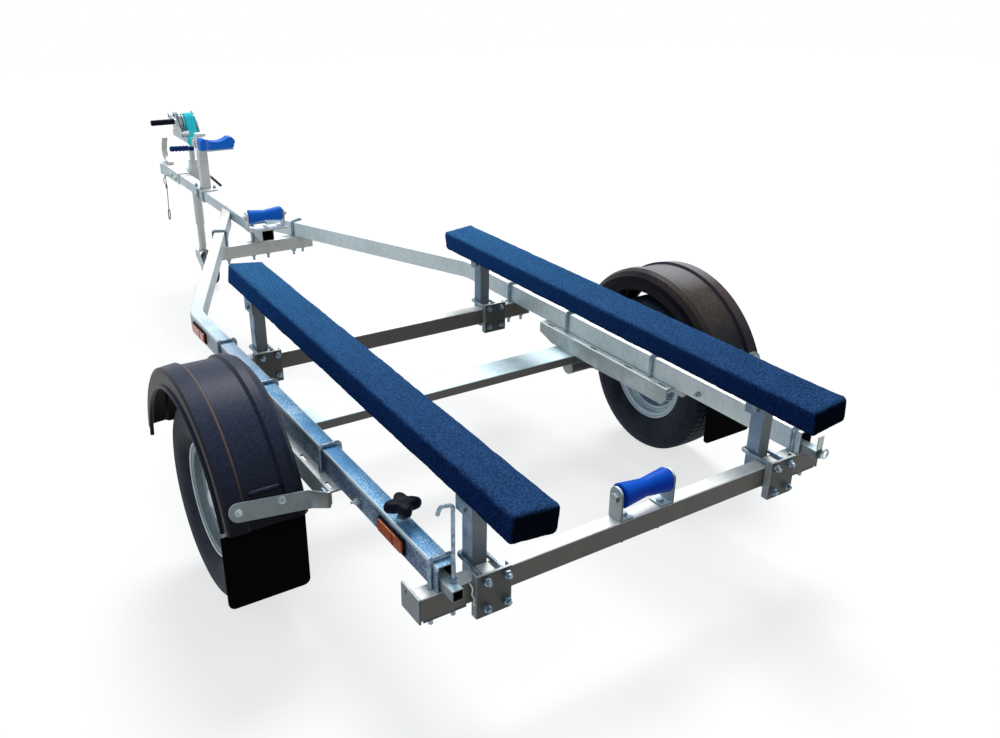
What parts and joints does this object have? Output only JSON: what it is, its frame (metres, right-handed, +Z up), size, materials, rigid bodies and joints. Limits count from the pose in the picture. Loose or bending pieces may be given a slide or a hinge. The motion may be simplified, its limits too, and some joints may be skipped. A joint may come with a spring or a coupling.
{
  "type": "boat trailer",
  "caption": "Single-axle galvanised boat trailer with carpeted bunks, keel rollers, hand winch on a post, jockey wheel, black mudguards and mudflaps.",
  "frame": {"origin": "middle of the bounding box's foot, on the ground", "axes": "+Y runs forward from the bunks to the coupling, +X to the trailer's right, +Z up"},
  "size_m": [1.6, 3.8344, 0.8654],
  "materials": {
    "black_plastic": "black plastic",
    "blue_grip": "dark blue rubber grip",
    "blue_plastic": "blue polyurethane",
    "cable": "sheathed cable",
    "carpet": "blue carpet pile",
    "galvanised": "hot-dip galvanised zinc",
    "guard_plastic": "black plastic, satin",
    "marker": "amber reflex lens",
    "rim_silver": "silver paint",
    "rubber": "matt black rubber",
    "tyre": "black tyre rubber",
    "webbing": "cyan polyester webbing",
    "zinc": "bright zinc plate"
  },
  "bodies": {
    "trailer": {"drawbar": "galvanised", "side_rail_right": "galvanised", "side_rail_left": "galvanised", "cross_rear": "galvanised", "cross_middle": "galvanised", "cross_front": "galvanised", "frame_u_bolts": "zinc", "axle_beam": "galvanised", "suspension_channels": "galvanised", "suspension_arms": "galvanised", "mudguard_right": "guard_plastic", "mudguard_left": "guard_plastic", "mudflaps": "rubber", "guard_stays": "galvanised", "bunk_right": "carpet", "bunk_left": "carpet", "bunk_posts": "galvanised", "bunk_caps": "galvanised", "post_plates": "galvanised", "post_u_bolts": "zinc", "roller_bracket_rear": "galvanised", "drawbar_spacer": "galvanised", "roller_bracket_front": "galvanised", "winch_post": "galvanised", "winch_arms": "galvanised", "snubber": "blue_plastic", "winch_frame": "zinc", "strap_tail": "webbing", "strap_hook": "zinc", "jockey_tube": "galvanised", "jockey_crank": "zinc", "jockey_grip": "blue_grip", "jockey_clamp": "galvanised", "clamp_lever": "zinc", "coupling_body": "galvanised", "coupling_handle": "zinc", "hanging_cable": "cable", "end_plates": "galvanised", "star_knob": "black_plastic", "side_markers": "marker", "light_arms": "galvanised", "light_rod": "zinc"},
    "wheel_right": {"hub_right": "zinc", "rim_right": "rim_silver", "tyre_right": "tyre"},
    "wheel_left": {"hub_left": "zinc", "rim_left": "rim_silver", "tyre_left": "tyre"},
    "keel_roller_rear": {"roller_rear": "blue_plastic"},
    "keel_roller_front": {"roller_front": "blue_plastic"},
    "winch_drum_body": {"winch_drum": "zinc", "winch_webbing": "webbing"},
    "winch_crank_body": {"winch_crank": "zinc", "winch_grip": "black_plastic"},
    "jockey_leg_body": {"jockey_leg": "galvanised"},
    "jockey_castor": {"jockey_fork": "galvanised"},
    "jockey_wheel": {"jockey_rim": "rim_silver", "jockey_tyre": "rubber"}
  },
  "joints": [
    {"name": "wheel_right_spin", "type": "hinge", "parent": "trailer", "child": "wheel_right", "pos_m": [0.69, -1.05909, 0.243], "axis": [1, 0, 0], "continuous": true},
    {"name": "wheel_left_spin", "type": "hinge", "parent": "trailer", "child": "wheel_left", "pos_m": [-0.69, -1.05909, 0.243], "axis": [1, 0, 0], "continuous": true},
    {"name": "roller_rear_spin", "type": "hinge", "parent": "trailer", "child": "keel_roller_rear", "pos_m": [0, -1.75931, 0.36252], "axis": [1, 0, 0], "continuous": true},
    {"name": "roller_front_spin", "type": "hinge", "parent": "trailer", "child": "keel_roller_front", "pos_m": [0, 0.49283, 0.55265], "axis": [1, 0, 0], "continuous": true},
    {"name": "winch_drum_spin", "type": "hinge", "parent": "trailer", "child": "winch_drum_body", "pos_m": [0, 1.43637, 0.81539], "axis": [1, 0, 0], "continuous": true},
    {"name": "winch_crank_spin", "type": "hinge", "parent": "trailer", "child": "winch_crank_body", "pos_m": [0, 1.47466, 0.84908], "axis": [1, 0, 0], "continuous": true},
    {"name": "jockey_lift", "type": "slide", "parent": "trailer", "child": "jockey_leg_body", "axis": [0, -0.0523, 0.9986], "range_m": [-0.1, 0.11]},
    {"name": "jockey_swivel", "type": "hinge", "parent": "jockey_leg_body", "child": "jockey_castor", "pos_m": [0.058, 1.64606, 0.17717], "axis": [0, -0.0523, 0.9986], "continuous": true},
    {"name": "jockey_wheel_spin", "type": "hinge", "parent": "jockey_castor", "child": "jockey_wheel", "pos_m": [0.058, 1.56878, 0.085], "axis": [1, 0, 0], "continuous": true}
  ],
  "couplings": [
    {"joint": "winch_crank_spin", "follows": "winch_drum_spin", "ratio": -3.6364}
  ]
}
